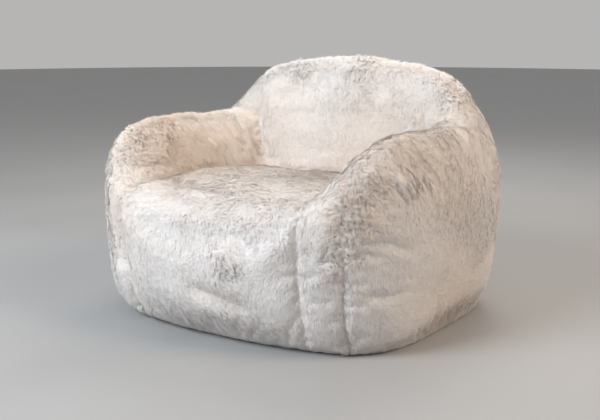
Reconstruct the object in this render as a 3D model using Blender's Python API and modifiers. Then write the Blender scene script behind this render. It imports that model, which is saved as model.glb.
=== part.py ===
"""Bean bag armchair: a sewn faux fur cover over four zipped liners filled with beads.

The chair faces -Y, stands on Z = 0 and is the same on both sides of X = 0. "Left" is -X.
The soft form is one coarse cage under Subdivision Surface. The cover's panels are that form's
faces between the seams, thickened inwards. The liners and their fills are a smaller copy of
the form, divided by flat baffles into seat, back and two arms.
"""
import math

import bmesh
import bpy
from mathutils import Matrix, Vector

# Plan lines of the cage, in metres
ARM_SIDE_X = 0.560
SEAT_EDGE_X = 0.330
FRONT_Y = -0.500
MIDDLE_Y = -0.034
BACK_FACE_Y = 0.261
REAR_Y = 0.508
FRONT_BULGE = 0.035
REAR_BULGE = 0.035
FRONT_CORNER_SETBACK = 0.130
FRONT_CORNER_NARROWING = 0.012
REAR_CORNER_SETBACK = 0.026
REAR_CORNER_NARROWING = 0.046

# Heights of the cage
TUCK_Z = 0.052
WAIST_Z = 0.376
ARM_TOP_Z = (0.603, 0.631, 0.580)
SEAT_Z = (0.385, 0.417, 0.337)
SEAT_CROWN = 0.021
ARM_EDGE_DROP = 0.018
BACK_TOP_Z = 0.813
BACK_TOP_CORNER_DROP = 0.049
BACK_TOP_SHOULDER_DROP = 0.033
BACK_TOP_REAR_DROP = 0.018

# How far each level is drawn in from the waist
BASE_WIDTH_SCALE = 0.894
BASE_DEPTH_SCALE = 0.744
TUCK_SCALE = 0.946
ARM_TOP_WIDTH_SCALE = 0.945
ARM_TOP_DEPTH_SCALE = 0.926
BACK_TOP_DEPTH_SCALE = 0.803
ARM_FLARE = 0.047
BACK_TOP_HALF_WIDTH = 0.363
BACK_TOP_SHOULDER_X = 0.224
BACK_LEAN = 0.057
BACK_HOLLOW = 0.028
ARM_STRIP_SHARE = 0.5

# Cover
PANEL_THICKNESS = 0.018
BASE_THICKNESS = 0.008
SEAM_GAP = 0.0004
FORM_LEVEL = 2

# Liners and fill
LINER_INSET = 0.034
LINER_WALL = 0.002
FIT_GAP = 0.0003
FILL_GAP = 0.0010
BAFFLE_GAP = 0.010
BACK_BAFFLE_Y = 0.210
ARM_BAFFLE_X = 0.325
LINER_LEVEL = 1
SLIVER = 0.008

# Cover zip, in the base panel
COVER_ZIP_LENGTH = 0.620
COVER_ZIP_Y = 0.155
TAPE_WIDTH = 0.027
TAPE_THICKNESS = 0.0008
TEETH_WIDTH = 0.005
TEETH_HEIGHT = 0.003
COVER_SLIDER_LENGTH = 0.024
COVER_SLIDER_WIDTH = 0.012
COVER_SLIDER_PLATE = 0.0028
COVER_STOP_LENGTH = 0.005
COVER_STOP_PLATE = 0.0012

# Liner zips, on the baffle faces
LINER_ZIP_LENGTH = 0.340
LINER_TAPE_WIDTH = 0.022
LINER_SLIT_WIDTH = 0.004
COIL_WIDTH = 0.0044
COIL_HEIGHT = 0.0020
LINER_SLIDER_LENGTH = 0.016
LINER_SLIDER_WIDTH = 0.0105
LINER_SLIDER_ROOF = 0.0015
SEAT_ZIP_Z = 0.200
BACK_ZIP_Z = 0.110
ARM_ZIP_Z = 0.200
ARM_ZIP_Y = -0.040

PANELS = (
    "base_panel",
    "seat_panel",
    "back_inner_panel",
    "back_top_strip",
    "rear_panel",
    "left_side_panel",
    "right_side_panel",
    "left_arm_strip",
    "right_arm_strip",
    "left_arm_inner_panel",
    "right_arm_inner_panel",
)

LOOKS = {
    "fur": ((0.70, 0.66, 0.63), 0.95, 0.0),
    "base_cloth": ((0.055, 0.055, 0.06), 0.85, 0.0),
    "tape": ((0.62, 0.59, 0.55), 0.9, 0.0),
    "teeth": ((0.66, 0.64, 0.60), 0.45, 0.0),
    "slider": ((0.42, 0.42, 0.43), 0.35, 1.0),
    "liner_cloth": ((0.80, 0.80, 0.78), 0.75, 0.0),
    "beads": ((0.90, 0.90, 0.90), 0.6, 0.0),
}


# ---------------------------------------------------------------- scene and materials

def clear_scene():
    for item in list(bpy.data.objects):
        bpy.data.objects.remove(item, do_unlink=True)


def new_collection(name):
    collection = bpy.data.collections.new(name)
    bpy.context.scene.collection.children.link(collection)
    return collection


def new_material(name, look):
    colour, roughness, metallic = LOOKS[look]
    material = bpy.data.materials.new(name)
    material.use_nodes = True
    shader = material.node_tree.nodes["Principled BSDF"]
    shader.inputs["Base Color"].default_value = (*colour, 1.0)
    shader.inputs["Roughness"].default_value = roughness
    shader.inputs["Metallic"].default_value = metallic
    return material


def new_part(name, mesh, look, smooth=False):
    """One sub-part of the chair, with a material of its own."""
    part = bpy.data.objects.new(name, mesh)
    bpy.data.collections["bean_bag_chair"].objects.link(part)
    mesh.materials.clear()
    mesh.materials.append(new_material(name + "_material", look))
    if smooth:
        mesh.shade_smooth()
        mesh.set_sharp_from_angle(angle=math.radians(50))
    return part


def new_guide(name, mesh):
    """A cutter or guide, which isn't a piece of the chair."""
    guide = bpy.data.objects.new(name, mesh)
    bpy.data.collections["cutters"].objects.link(guide)
    guide.hide_render = True
    guide.display_type = "WIRE"
    return guide


def evaluated_mesh(source):
    graph = bpy.context.evaluated_depsgraph_get()
    graph.update()
    return bpy.data.meshes.new_from_object(source.evaluated_get(graph))


def mesh_from(bm, name):
    bmesh.ops.recalc_face_normals(bm, faces=bm.faces)
    if bm.calc_volume(signed=True) < 0.0:
        bmesh.ops.reverse_faces(bm, faces=bm.faces)
    mesh = bpy.data.meshes.new(name)
    bm.to_mesh(mesh)
    bm.free()
    return mesh


def box_mesh(name, low, high):
    """A box between two opposite corners."""
    bm = bmesh.new()
    bmesh.ops.create_cube(bm, size=1.0)
    low, high = Vector(low), Vector(high)
    bmesh.ops.scale(bm, vec=high - low, verts=bm.verts)
    bmesh.ops.translate(bm, vec=(low + high) / 2, verts=bm.verts)
    return mesh_from(bm, name)


def boolean(target, cutter, operation):
    modifier = target.modifiers.new(operation.lower() + "_" + cutter.name, "BOOLEAN")
    modifier.operation = operation
    modifier.object = cutter


# ---------------------------------------------------------------- the soft form

def chair_cage(inset, floor):
    """Coarse cage of the whole soft form, drawn in by the inset, standing on the floor height.

    Columns 0 to 4 run across (side, seat edge, middle, seat edge, side). Rows 0 to 3 run
    from front to rear. Each face's material_index is its panel's place in PANELS. Each point's
    side_share is 1 at the chair's sides and 0 from the seat's edges inwards.
    """
    column_x = (inset - ARM_SIDE_X, -SEAT_EDGE_X - inset, 0.0, SEAT_EDGE_X + inset, ARM_SIDE_X - inset)
    row_y = (FRONT_Y + inset, MIDDLE_Y, BACK_FACE_Y + inset, REAR_Y - inset)
    centre_y = (FRONT_Y + REAR_Y) / 2
    arm_top = [z - inset for z in ARM_TOP_Z]
    seat_top = [z - inset for z in SEAT_Z]
    back_top = BACK_TOP_Z - inset

    bm = bmesh.new()
    side_share = bm.verts.layers.float.new("side_share")
    points = {}

    def plan(column, row):
        """Outline of the waist, with bulged front and rear and set-back corners."""
        x, y = column_x[column], row_y[row]
        if row == 0 and column == 2:
            y -= FRONT_BULGE
        if row == 3 and column == 2:
            y += REAR_BULGE
        if column in (0, 4) and row == 0:
            x -= math.copysign(FRONT_CORNER_NARROWING, x)
            y += FRONT_CORNER_SETBACK
        if column in (0, 4) and row == 3:
            x -= math.copysign(REAR_CORNER_NARROWING, x)
            y -= REAR_CORNER_SETBACK
        return x, y

    def drawn_in(column, row, width_scale, depth_scale):
        x, y = plan(column, row)
        if column in (0, 4):
            x *= width_scale
        y = centre_y + (y - centre_y) * depth_scale
        return x, y

    def point(level, column, row, x, y, z):
        new_point = bm.verts.new((x, y, z))
        new_point[side_share] = 1.0 if column in (0, 4) else 0.0
        points[level, column, row] = new_point

    def face(panel, *keys):
        new_face = bm.faces.new([points[key] for key in keys])
        new_face.material_index = PANELS.index(panel)

    outline = [(column, 0) for column in range(5)]
    outline += [(4, 1), (4, 2), (4, 3)]
    outline += [(column, 3) for column in (3, 2, 1, 0)]
    outline += [(0, 2), (0, 1)]

    # Base, tuck and waist
    for column in range(5):
        for row in range(4):
            x, y = plan(column, row)
            if (column, row) in outline:
                x, y = drawn_in(column, row, BASE_WIDTH_SCALE, BASE_DEPTH_SCALE)
                if row in (1, 2):
                    y = row_y[row]
            point("base", column, row, x, y, floor)
    for column, row in outline:
        x, y = drawn_in(column, row, TUCK_SCALE, TUCK_SCALE)
        if row in (1, 2):
            y = row_y[row]
        point("tuck", column, row, x, y, TUCK_Z + floor)
        x, y = plan(column, row)
        point("waist", column, row, x, y, WAIST_Z)

    # Seat
    for column in (1, 2, 3):
        for row in (0, 1, 2):
            x, y = plan(column, row)
            crown = SEAT_CROWN if column == 2 else 0.0
            point("seat", column, row, x, y, seat_top[row] + crown)

    # Arm tops
    face_y = BACK_FACE_Y + inset + BACK_LEAN * (arm_top[2] - seat_top[2])
    for row in (0, 1, 2):
        for column in (0, 4):
            x, y = drawn_in(column, row, ARM_TOP_WIDTH_SCALE, ARM_TOP_DEPTH_SCALE)
            if row in (1, 2):
                y = row_y[row]
            point("arm", column, row, x, y, arm_top[row] - ARM_EDGE_DROP)
        for column in (1, 3):
            x, y = drawn_in(column, row, 1.0, ARM_TOP_DEPTH_SCALE)
            if row == 1:
                y = row_y[1]
            if row == 2:
                y = face_y
            point("arm", column, row, x + math.copysign(ARM_FLARE, x), y, arm_top[row])

    # Back
    point("back", 2, 2, 0.0, face_y - BACK_HOLLOW, arm_top[2])
    top_y = BACK_FACE_Y + inset + BACK_LEAN * (back_top - seat_top[2])
    drops = (BACK_TOP_CORNER_DROP, BACK_TOP_SHOULDER_DROP, 0.0, BACK_TOP_SHOULDER_DROP, BACK_TOP_CORNER_DROP)
    half_width = BACK_TOP_HALF_WIDTH - inset
    shoulder = BACK_TOP_SHOULDER_X - inset / 2
    top_x = (-half_width, -shoulder, 0.0, shoulder, half_width)
    for column in range(5):
        x, y = plan(column, 3)
        rear_y = centre_y + (y - centre_y) * BACK_TOP_DEPTH_SCALE
        point("top", column, 2, top_x[column], top_y, back_top - drops[column])
        point("top", column, 3, top_x[column], rear_y, back_top - drops[column] - BACK_TOP_REAR_DROP)
        x, y = drawn_in(column, 3, ARM_TOP_WIDTH_SCALE, ARM_TOP_DEPTH_SCALE)
        point("arm", column, 3, x, y, arm_top[2] - ARM_EDGE_DROP)

    # Base and walls
    for column in range(4):
        for row in range(3):
            face("base_panel", ("base", column, row), ("base", column, row + 1),
                 ("base", column + 1, row + 1), ("base", column + 1, row))
    for here, there in zip(outline, outline[1:] + outline[:1]):
        across = (here[0] + there[0]) / 2
        if here[1] == there[1] == 0:
            panel = "seat_panel" if 1 < across < 3 else ("left_arm_strip" if across < 1 else "right_arm_strip")
        elif here[1] == there[1] == 3:
            panel = "rear_panel"
        else:
            panel = "left_side_panel" if across < 1 else "right_side_panel"
        face(panel, ("base", *here), ("base", *there), ("tuck", *there), ("tuck", *here))
        face(panel, ("tuck", *here), ("tuck", *there), ("waist", *there), ("waist", *here))

    # Seat front and top
    for column in (1, 2):
        face("seat_panel", ("waist", column, 0), ("waist", column + 1, 0),
             ("seat", column + 1, 0), ("seat", column, 0))
        for row in (0, 1):
            face("seat_panel", ("seat", column, row), ("seat", column + 1, row),
                 ("seat", column + 1, row + 1), ("seat", column, row + 1))

    # Arms: front and top strip, inner face, outer side running on to the end of the back
    for side, outer, inner in (("left", 0, 1), ("right", 4, 3)):
        face(side + "_arm_strip", ("waist", outer, 0), ("waist", inner, 0),
             ("seat", inner, 0), ("arm", inner, 0), ("arm", outer, 0))
        for row in (0, 1):
            face(side + "_arm_strip", ("arm", outer, row), ("arm", inner, row),
                 ("arm", inner, row + 1), ("arm", outer, row + 1))
            face(side + "_arm_inner_panel", ("seat", inner, row), ("seat", inner, row + 1),
                 ("arm", inner, row + 1), ("arm", inner, row))
            face(side + "_side_panel", ("waist", outer, row + 1), ("waist", outer, row),
                 ("arm", outer, row), ("arm", outer, row + 1))
        face(side + "_side_panel", ("waist", outer, 3), ("waist", outer, 2),
             ("arm", outer, 2), ("arm", outer, 3))
        face(side + "_side_panel", ("arm", outer, 3), ("arm", outer, 2),
             ("top", outer, 2), ("top", outer, 3))
        face("back_inner_panel", ("arm", outer, 2), ("arm", inner, 2),
             ("top", inner, 2), ("top", outer, 2))
        face("back_inner_panel", ("seat", inner, 2), ("seat", 2, 2),
             ("back", 2, 2), ("arm", inner, 2))
        face("back_inner_panel", ("arm", inner, 2), ("back", 2, 2),
             ("top", 2, 2), ("top", inner, 2))

    # Rear above the waist, and the top of the back
    for column in range(4):
        face("rear_panel", ("waist", column + 1, 3), ("waist", column, 3),
             ("arm", column, 3), ("arm", column + 1, 3))
        face("rear_panel", ("arm", column + 1, 3), ("arm", column, 3),
             ("top", column, 3), ("top", column + 1, 3))
        face("back_top_strip", ("top", column, 2), ("top", column + 1, 2),
             ("top", column + 1, 3), ("top", column, 3))

    bmesh.ops.recalc_face_normals(bm, faces=bm.faces)
    crease = bm.edges.layers.float.new("crease_edge")
    for edge in bm.edges:
        if all(abs(vert.co.z - floor) < 1e-6 for vert in edge.verts):
            if any(other.calc_center_median().z > floor + 1e-4 for other in edge.link_faces):
                edge[crease] = 1.0
    return bm


def soft_form(name, inset, floor, level):
    """The cage under Subdivision Surface, kept as a guide."""
    bm = chair_cage(inset, floor)
    mesh = bpy.data.meshes.new(name)
    bm.to_mesh(mesh)
    bm.free()
    for panel in PANELS:
        mesh.materials.append(new_material(name + "_" + panel, "fur"))
    guide = new_guide(name, mesh)
    subdivision = guide.modifiers.new("soften", "SUBSURF")
    subdivision.levels = level
    subdivision.render_levels = level
    return guide


def narrow_arm_strips(form):
    """Gives the outer part of each arm strip to the side panel, which wraps round onto the front."""
    share = form.attributes["side_share"].data
    for side in ("left", "right"):
        strip = PANELS.index(side + "_arm_strip")
        for face in form.polygons:
            if face.material_index == strip:
                shares = [share[vert].value for vert in face.vertices]
                if sum(shares) / len(shares) > ARM_STRIP_SHARE:
                    face.material_index = PANELS.index(side + "_side_panel")


# ---------------------------------------------------------------- cover panels

def panel_mesh(form, panel):
    """One panel: its faces of the form, drawn back from the seams and thickened inwards.

    The walls at a seam follow the whole form's normals, so neighbours stay parallel there.
    """
    bm = bmesh.new()
    bm.from_mesh(form)
    bm.verts.index_update()
    number = {vert: vert.index for vert in bm.verts}
    normal = {vert: vert.normal.copy() for vert in bm.verts}
    strangers = [face for face in bm.faces if face.material_index != PANELS.index(panel)]
    bmesh.ops.delete(bm, geom=strangers, context="FACES")

    shifts = {}
    for edge in bm.edges:
        if not edge.is_boundary:
            continue
        start, end = edge.verts
        along = (end.co - start.co).normalized()
        inward = edge.link_faces[0].calc_center_median() - (start.co + end.co) / 2
        inward = (inward - along * inward.dot(along)).normalized()
        for vert in edge.verts:
            shifts.setdefault(vert, []).append(inward)
    for vert, directions in shifts.items():
        total = sum(directions, Vector())
        length = max(total.length, 0.5)
        vert.co += total / length * (SEAM_GAP * len(directions) / 2 / length)

    outer_faces = list(bm.faces)
    inner = {}
    for vert in list(bm.verts):
        depth = PANEL_THICKNESS
        if panel == "base_panel":
            depth = BASE_THICKNESS / -normal[vert].z
        inner[vert] = bm.verts.new(vert.co - normal[vert] * depth)
    for face in outer_faces:
        bm.faces.new([inner[vert] for vert in reversed(face.verts)])
    for edge in [edge for edge in bm.edges if edge.is_boundary and edge.verts[0] in inner]:
        if any(vert not in inner for vert in edge.verts):
            continue
        start, end = sorted(edge.verts, key=lambda vert: number[vert])
        bm.faces.new((start, end, inner[start]))
        bm.faces.new((end, inner[end], inner[start]))
    for face in bm.faces:
        face.material_index = 0
    return mesh_from(bm, panel)


def make_cover(form):
    for panel in PANELS:
        look = "base_cloth" if panel == "base_panel" else "fur"
        new_part(panel, panel_mesh(form, panel), look, smooth=True)


# ---------------------------------------------------------------- cover zip

def make_cover_zip():
    """A zip along X in the flat base, with the tapes let into the panel's inner side."""
    tape_z = BASE_THICKNESS - 2 * FIT_GAP - TAPE_THICKNESS - FIT_GAP
    teeth_z = tape_z + (TAPE_THICKNESS - TEETH_HEIGHT) / 2
    half = COVER_ZIP_LENGTH / 2
    tape_inner = TEETH_WIDTH / 2 + FIT_GAP
    tape_outer = tape_inner + TAPE_WIDTH

    base = bpy.data.objects["base_panel"]
    slot_half = COVER_SLIDER_WIDTH / 2 + 0.0015
    slot = new_guide("cover_zip_slot", box_mesh(
        "cover_zip_slot",
        (-half - FIT_GAP, COVER_ZIP_Y - slot_half, -0.01),
        (half + FIT_GAP, COVER_ZIP_Y + slot_half, 0.02)))
    pocket = new_guide("cover_zip_pocket", box_mesh(
        "cover_zip_pocket",
        (-half - FIT_GAP, COVER_ZIP_Y - tape_outer - FIT_GAP, tape_z - FIT_GAP),
        (half + FIT_GAP, COVER_ZIP_Y + tape_outer + FIT_GAP, 0.02)))
    boolean(base, pocket, "DIFFERENCE")
    boolean(base, slot, "DIFFERENCE")

    for place, sign in (("front", -1), ("rear", 1)):
        edges = sorted((COVER_ZIP_Y + sign * tape_inner, COVER_ZIP_Y + sign * tape_outer))
        new_part("cover_zip_tape_" + place, box_mesh(
            "tape_" + place,
            (-half, edges[0], tape_z),
            (half, edges[1], tape_z + TAPE_THICKNESS)), "tape")

    teeth = new_part("cover_zip_teeth", box_mesh(
        "teeth",
        (-half, COVER_ZIP_Y - TEETH_WIDTH / 2, teeth_z),
        (half, COVER_ZIP_Y + TEETH_WIDTH / 2, teeth_z + TEETH_HEIGHT)), "teeth")
    soften_edges(teeth, TEETH_HEIGHT / 6)

    clip_top = tape_z - FIT_GAP
    groove_top = teeth_z - FIT_GAP
    slider = make_clip("cover_zip_slider", COVER_SLIDER_LENGTH, COVER_SLIDER_PLATE, groove_top, clip_top)
    slider.location.x = -half + COVER_STOP_LENGTH + FIT_GAP + COVER_SLIDER_LENGTH / 2
    for place, sign in (("left", -1), ("right", 1)):
        stop = make_clip("cover_zip_stop_" + place, COVER_STOP_LENGTH, COVER_STOP_PLATE, groove_top, clip_top)
        stop.location.x = sign * (half - COVER_STOP_LENGTH / 2)


def make_clip(name, length, plate, groove_top, clip_top):
    """A channel that hugs the teeth from below, with its origin on the zip's line."""
    half_width = COVER_SLIDER_WIDTH / 2
    groove_half = TEETH_WIDTH / 2 + FIT_GAP
    clip = new_part(name, box_mesh(
        name,
        (-length / 2, -half_width, groove_top - plate),
        (length / 2, half_width, clip_top)), "slider")
    groove = new_guide(name + "_groove", box_mesh(
        name + "_groove",
        (-length, -groove_half, groove_top),
        (length, groove_half, clip_top + 0.01)))
    groove.parent = clip
    boolean(clip, groove, "DIFFERENCE")
    clip.location.y = COVER_ZIP_Y
    return clip


def soften_edges(part, width):
    bevel = part.modifiers.new("soften_edges", "BEVEL")
    bevel.width = width
    bevel.segments = 1
    bevel.limit_method = "ANGLE"


# ---------------------------------------------------------------- liners and fills

def chamber_box(chamber, low_z):
    """Corners of the space between the baffles that one chamber takes up."""
    far = 1.0
    half_gap = BAFFLE_GAP / 2
    if chamber == "seat":
        low = (-ARM_BAFFLE_X + half_gap, -far, low_z)
        high = (ARM_BAFFLE_X - half_gap, BACK_BAFFLE_Y - half_gap, far)
    elif chamber == "back":
        low = (-far, BACK_BAFFLE_Y + half_gap, low_z)
        high = (far, far, far)
    elif chamber == "left_arm":
        low = (-far, -far, low_z)
        high = (-ARM_BAFFLE_X - half_gap, BACK_BAFFLE_Y - half_gap, far)
    else:
        low = (ARM_BAFFLE_X + half_gap, -far, low_z)
        high = (far, BACK_BAFFLE_Y - half_gap, far)
    return low, high


def chamber_mesh(form, chamber, low_z):
    """The part of the inner form that lies in one chamber, as triangles."""
    block = new_guide(chamber + "_block", box_mesh(chamber + "_block", *chamber_box(chamber, low_z)))
    body = new_guide(chamber + "_body", evaluated_mesh(form))
    boolean(body, block, "INTERSECT")
    mesh = evaluated_mesh(body)
    bm = bmesh.new()
    bm.from_mesh(mesh)
    bmesh.ops.remove_doubles(bm, verts=bm.verts, dist=SLIVER)
    bmesh.ops.dissolve_degenerate(bm, dist=SLIVER, edges=bm.edges)
    bmesh.ops.triangulate(bm, faces=bm.faces)
    return mesh_from(bm, chamber)


def add_wall(target, thickness):
    wall = target.modifiers.new("wall", "SOLIDIFY")
    wall.thickness = thickness
    wall.offset = -1.0
    wall.use_even_offset = True


def shrunk_mesh(mesh, depth):
    """The inner side of a wall of that depth, as a solid of its own."""
    guide = new_guide(mesh.name + "_shrunk", mesh.copy())
    add_wall(guide, depth)
    bm = bmesh.new()
    bm.from_mesh(evaluated_mesh(guide))
    bm.verts.ensure_lookup_table()
    bmesh.ops.delete(bm, geom=bm.verts[:len(mesh.vertices)], context="VERTS")
    return mesh_from(bm, mesh.name + "_shrunk")


def zip_place(chamber):
    """Where a liner's zip lies on its baffle face: a matrix with X along and Z out of it."""
    half_gap = BAFFLE_GAP / 2
    if chamber == "seat":
        spot = Vector((0.0, BACK_BAFFLE_Y - half_gap, SEAT_ZIP_Z))
        along, out = Vector((1, 0, 0)), Vector((0, 1, 0))
    elif chamber == "back":
        spot = Vector((0.0, BACK_BAFFLE_Y + half_gap, BACK_ZIP_Z))
        along, out = Vector((1, 0, 0)), Vector((0, -1, 0))
    else:
        side = -1 if chamber == "left_arm" else 1
        spot = Vector((side * (ARM_BAFFLE_X + half_gap), ARM_ZIP_Y, ARM_ZIP_Z))
        along, out = Vector((0, 1, 0)), Vector((-side, 0, 0))
    across = out.cross(along)
    turn = Matrix((along, across, out)).transposed()
    return Matrix.Translation(spot) @ turn.to_4x4()


def make_liner(chamber, form):
    """A bag with a slit under its zip, and the beads that fill it."""
    mesh = chamber_mesh(form, chamber, BASE_THICKNESS + FIT_GAP)
    name = chamber + "_liner"
    liner = new_part(name, mesh.copy(), "liner_cloth")
    add_wall(liner, LINER_WALL)
    slit = new_guide(name + "_slit", box_mesh(
        name + "_slit",
        (-LINER_ZIP_LENGTH / 2 + 0.01, -LINER_SLIT_WIDTH / 2, -LINER_WALL * 2),
        (LINER_ZIP_LENGTH / 2 - 0.01, LINER_SLIT_WIDTH / 2, LINER_WALL)))
    slit.matrix_world = zip_place(chamber)
    boolean(liner, slit, "DIFFERENCE")

    new_part(chamber + "_fill", shrunk_mesh(mesh, LINER_WALL + FILL_GAP), "beads")


def make_liner_zip(chamber):
    """Tape with a raised coil, and a slider that straddles the coil."""
    half = LINER_ZIP_LENGTH / 2
    tape_top = FIT_GAP + TAPE_THICKNESS
    coil_top = tape_top + COIL_HEIGHT
    strip = new_part(chamber + "_liner_zip", box_mesh(
        chamber + "_tape",
        (-half, -LINER_TAPE_WIDTH / 2, FIT_GAP),
        (half, LINER_TAPE_WIDTH / 2, tape_top)), "tape")
    coil = new_guide(chamber + "_coil", box_mesh(
        chamber + "_coil",
        (-half + 0.006, -COIL_WIDTH / 2, FIT_GAP + TAPE_THICKNESS / 2),
        (half - 0.006, COIL_WIDTH / 2, coil_top)))
    coil.parent = strip
    boolean(strip, coil, "UNION")
    strip.matrix_world = zip_place(chamber)

    name = chamber + "_liner_slider"
    slider = new_part(name, box_mesh(
        name,
        (-LINER_SLIDER_LENGTH / 2, -LINER_SLIDER_WIDTH / 2, tape_top + FIT_GAP),
        (LINER_SLIDER_LENGTH / 2, LINER_SLIDER_WIDTH / 2, coil_top + FIT_GAP + LINER_SLIDER_ROOF)), "slider")
    groove = new_guide(name + "_groove", box_mesh(
        name + "_groove",
        (-LINER_SLIDER_LENGTH, -COIL_WIDTH / 2 - FIT_GAP, 0.0),
        (LINER_SLIDER_LENGTH, COIL_WIDTH / 2 + FIT_GAP, coil_top + FIT_GAP)))
    groove.parent = slider
    boolean(slider, groove, "DIFFERENCE")
    start = Matrix.Translation((-half + 0.006 + LINER_SLIDER_LENGTH / 2, 0.0, 0.0))
    slider.matrix_world = zip_place(chamber) @ start


def make_liners():
    form = soft_form("liner_form", LINER_INSET, BASE_THICKNESS, LINER_LEVEL)
    for chamber in ("seat", "back", "left_arm", "right_arm"):
        make_liner(chamber, form)
        make_liner_zip(chamber)


def main():
    clear_scene()
    new_collection("bean_bag_chair")
    new_collection("cutters")
    form = evaluated_mesh(soft_form("cover_form", 0.0, 0.0, FORM_LEVEL))
    narrow_arm_strips(form)
    make_cover(form)
    make_cover_zip()
    make_liners()


main()
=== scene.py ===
"""A furry bean bag armchair: its sewn fur cover, the zip under it, and the bags of beads inside.

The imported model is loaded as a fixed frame. Each operator makes one piece or one group of
like pieces in the place the frame gives it, and the last one makes the studio round them.
"""

import math

import bmesh
import bpy
import numpy as np
from bpy.props import FloatProperty, FloatVectorProperty, IntProperty, PointerProperty
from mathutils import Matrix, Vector
from mathutils.bvhtree import BVHTree
from mathutils.kdtree import KDTree


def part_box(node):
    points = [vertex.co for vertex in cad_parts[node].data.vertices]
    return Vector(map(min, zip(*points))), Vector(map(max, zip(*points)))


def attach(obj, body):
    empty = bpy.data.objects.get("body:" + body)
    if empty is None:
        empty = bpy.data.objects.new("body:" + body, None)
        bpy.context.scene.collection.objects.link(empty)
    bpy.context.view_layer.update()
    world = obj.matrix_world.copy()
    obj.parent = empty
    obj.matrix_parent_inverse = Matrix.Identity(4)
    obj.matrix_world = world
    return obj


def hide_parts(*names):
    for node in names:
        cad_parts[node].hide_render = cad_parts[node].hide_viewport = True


bl_info = {
    "name": "Bean Bag Armchair",
    "version": (1, 0, 0),
    "blender": (4, 5, 0),
    "location": "3D View > Sidebar > Bean Bag",
    "description": "Makes a furry bean bag armchair with its cover, zips, liners and beads",
    "category": "Object",
}

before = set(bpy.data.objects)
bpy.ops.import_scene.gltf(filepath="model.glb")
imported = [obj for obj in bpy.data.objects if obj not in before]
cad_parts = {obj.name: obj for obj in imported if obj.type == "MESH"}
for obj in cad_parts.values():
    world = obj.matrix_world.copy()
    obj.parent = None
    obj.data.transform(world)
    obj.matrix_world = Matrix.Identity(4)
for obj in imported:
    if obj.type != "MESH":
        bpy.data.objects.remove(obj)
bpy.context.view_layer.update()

FUR_PANELS = (
    "seat_panel",
    "back_inner_panel",
    "back_top_strip",
    "rear_panel",
    "left_side_panel",
    "right_side_panel",
    "left_arm_strip",
    "right_arm_strip",
    "left_arm_inner_panel",
    "right_arm_inner_panel",
)
CHAMBERS = ("seat", "back", "left_arm", "right_arm")

# How the inner bags are filled, and how deep their folds are.
LINER_PRESSURE = 2.5
LINER_SLACK = 0.05
LINER_FOLD = 0.0022

# Where the camera stands (its height is a setting), what it looks at, and its lens.
CAMERA_ACROSS, CAMERA_ALONG = 1.789, -2.652
CAMERA_AIM = (0.002, 0.006, 0.311)
CAMERA_LENS, CAMERA_SENSOR = 61.5, 36.0

# The soft lights' aim, and the power of the one high behind.
LIGHTS_AIM = (0.0, 0.0, 0.38)
HIGH_BACK_POWER = 45.0

# Where the pile lies tousled, as (panel, share of its box, radius, how tousled, how far the roots show).
TOUSLED = (
    ("seat_panel", (0.669, 0.015, 0.599), 0.055, 1.0, 1.0),
    ("seat_panel", (0.728, 0.080, 0.860), 0.120, 0.40, 0.15),
    ("seat_panel", (0.750, 0.013, 0.720), 0.110, 0.35, 0.10),
    ("seat_panel", (0.432, 0.332, 0.936), 0.090, 0.40, 0.30),
    ("seat_panel", (0.480, 0.740, 0.916), 0.120, 0.40, 0.55),
    ("seat_panel", (0.803, 0.919, 0.901), 0.110, 0.40, 0.60),
    ("seat_panel", (0.300, 0.040, 0.230), 0.110, 0.30, 0.35),
    ("seat_panel", (0.700, 0.060, 0.190), 0.120, 0.30, 0.35),
    ("left_arm_inner_panel", (0.130, 0.313, 0.934), 0.080, 0.55, 0.35),
    ("left_arm_inner_panel", (0.218, 0.204, 0.765), 0.070, 0.70, 0.55),
    ("left_arm_inner_panel", (0.346, 0.101, 0.499), 0.060, 0.60, 0.45),
    ("left_arm_strip", (0.834, 0.084, 0.731), 0.055, 0.60, 0.35),
    ("left_arm_strip", (0.534, 0.800, 0.990), 0.090, 0.45, 0.25),
    ("right_arm_strip", (0.857, 0.162, 0.721), 0.070, 0.95, 0.85),
    ("right_arm_strip", (0.939, 0.211, 0.781), 0.060, 0.90, 0.75),
    ("right_arm_strip", (0.817, 0.135, 0.637), 0.070, 0.95, 0.80),
    ("right_arm_strip", (0.703, 0.103, 0.528), 0.060, 0.90, 0.60),
    ("right_arm_strip", (0.635, 0.089, 0.438), 0.050, 0.90, 0.75),
    ("back_inner_panel", (0.298, 0.883, 0.960), 0.060, 0.9, 0.5),
    ("back_inner_panel", (0.541, 0.895, 0.996), 0.060, 0.9, 0.5),
    ("back_inner_panel", (0.890, 0.730, 0.768), 0.060, 0.9, 0.5),
    ("back_inner_panel", (0.560, 0.500, 0.600), 0.110, 0.5, 0.1),
    ("back_inner_panel", (0.720, 0.500, 0.560), 0.090, 0.5, 0.2),
    ("rear_panel", (0.300, 0.900, 0.700), 0.110, 0.6, 0.4),
    ("rear_panel", (0.640, 0.900, 0.420), 0.100, 0.6, 0.5),
    ("left_side_panel", (0.100, 0.450, 0.620), 0.110, 0.6, 0.4),
    ("left_side_panel", (0.120, 0.250, 0.350), 0.090, 0.6, 0.4),
)

# Where the pile lies in a round whorl, as (panel, share of its box, radius, how firmly).
WHORLS = (
    ("seat_panel", (0.669, 0.015, 0.599), 0.075, 1.0),
    ("left_arm_inner_panel", (0.218, 0.204, 0.765), 0.060, 0.7),
    ("right_side_panel", (0.600, 0.050, 0.580), 0.070, 0.7),
    ("back_inner_panel", (0.640, 0.500, 0.640), 0.080, 0.6),
    ("rear_panel", (0.400, 0.950, 0.450), 0.090, 0.8),
)

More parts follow.
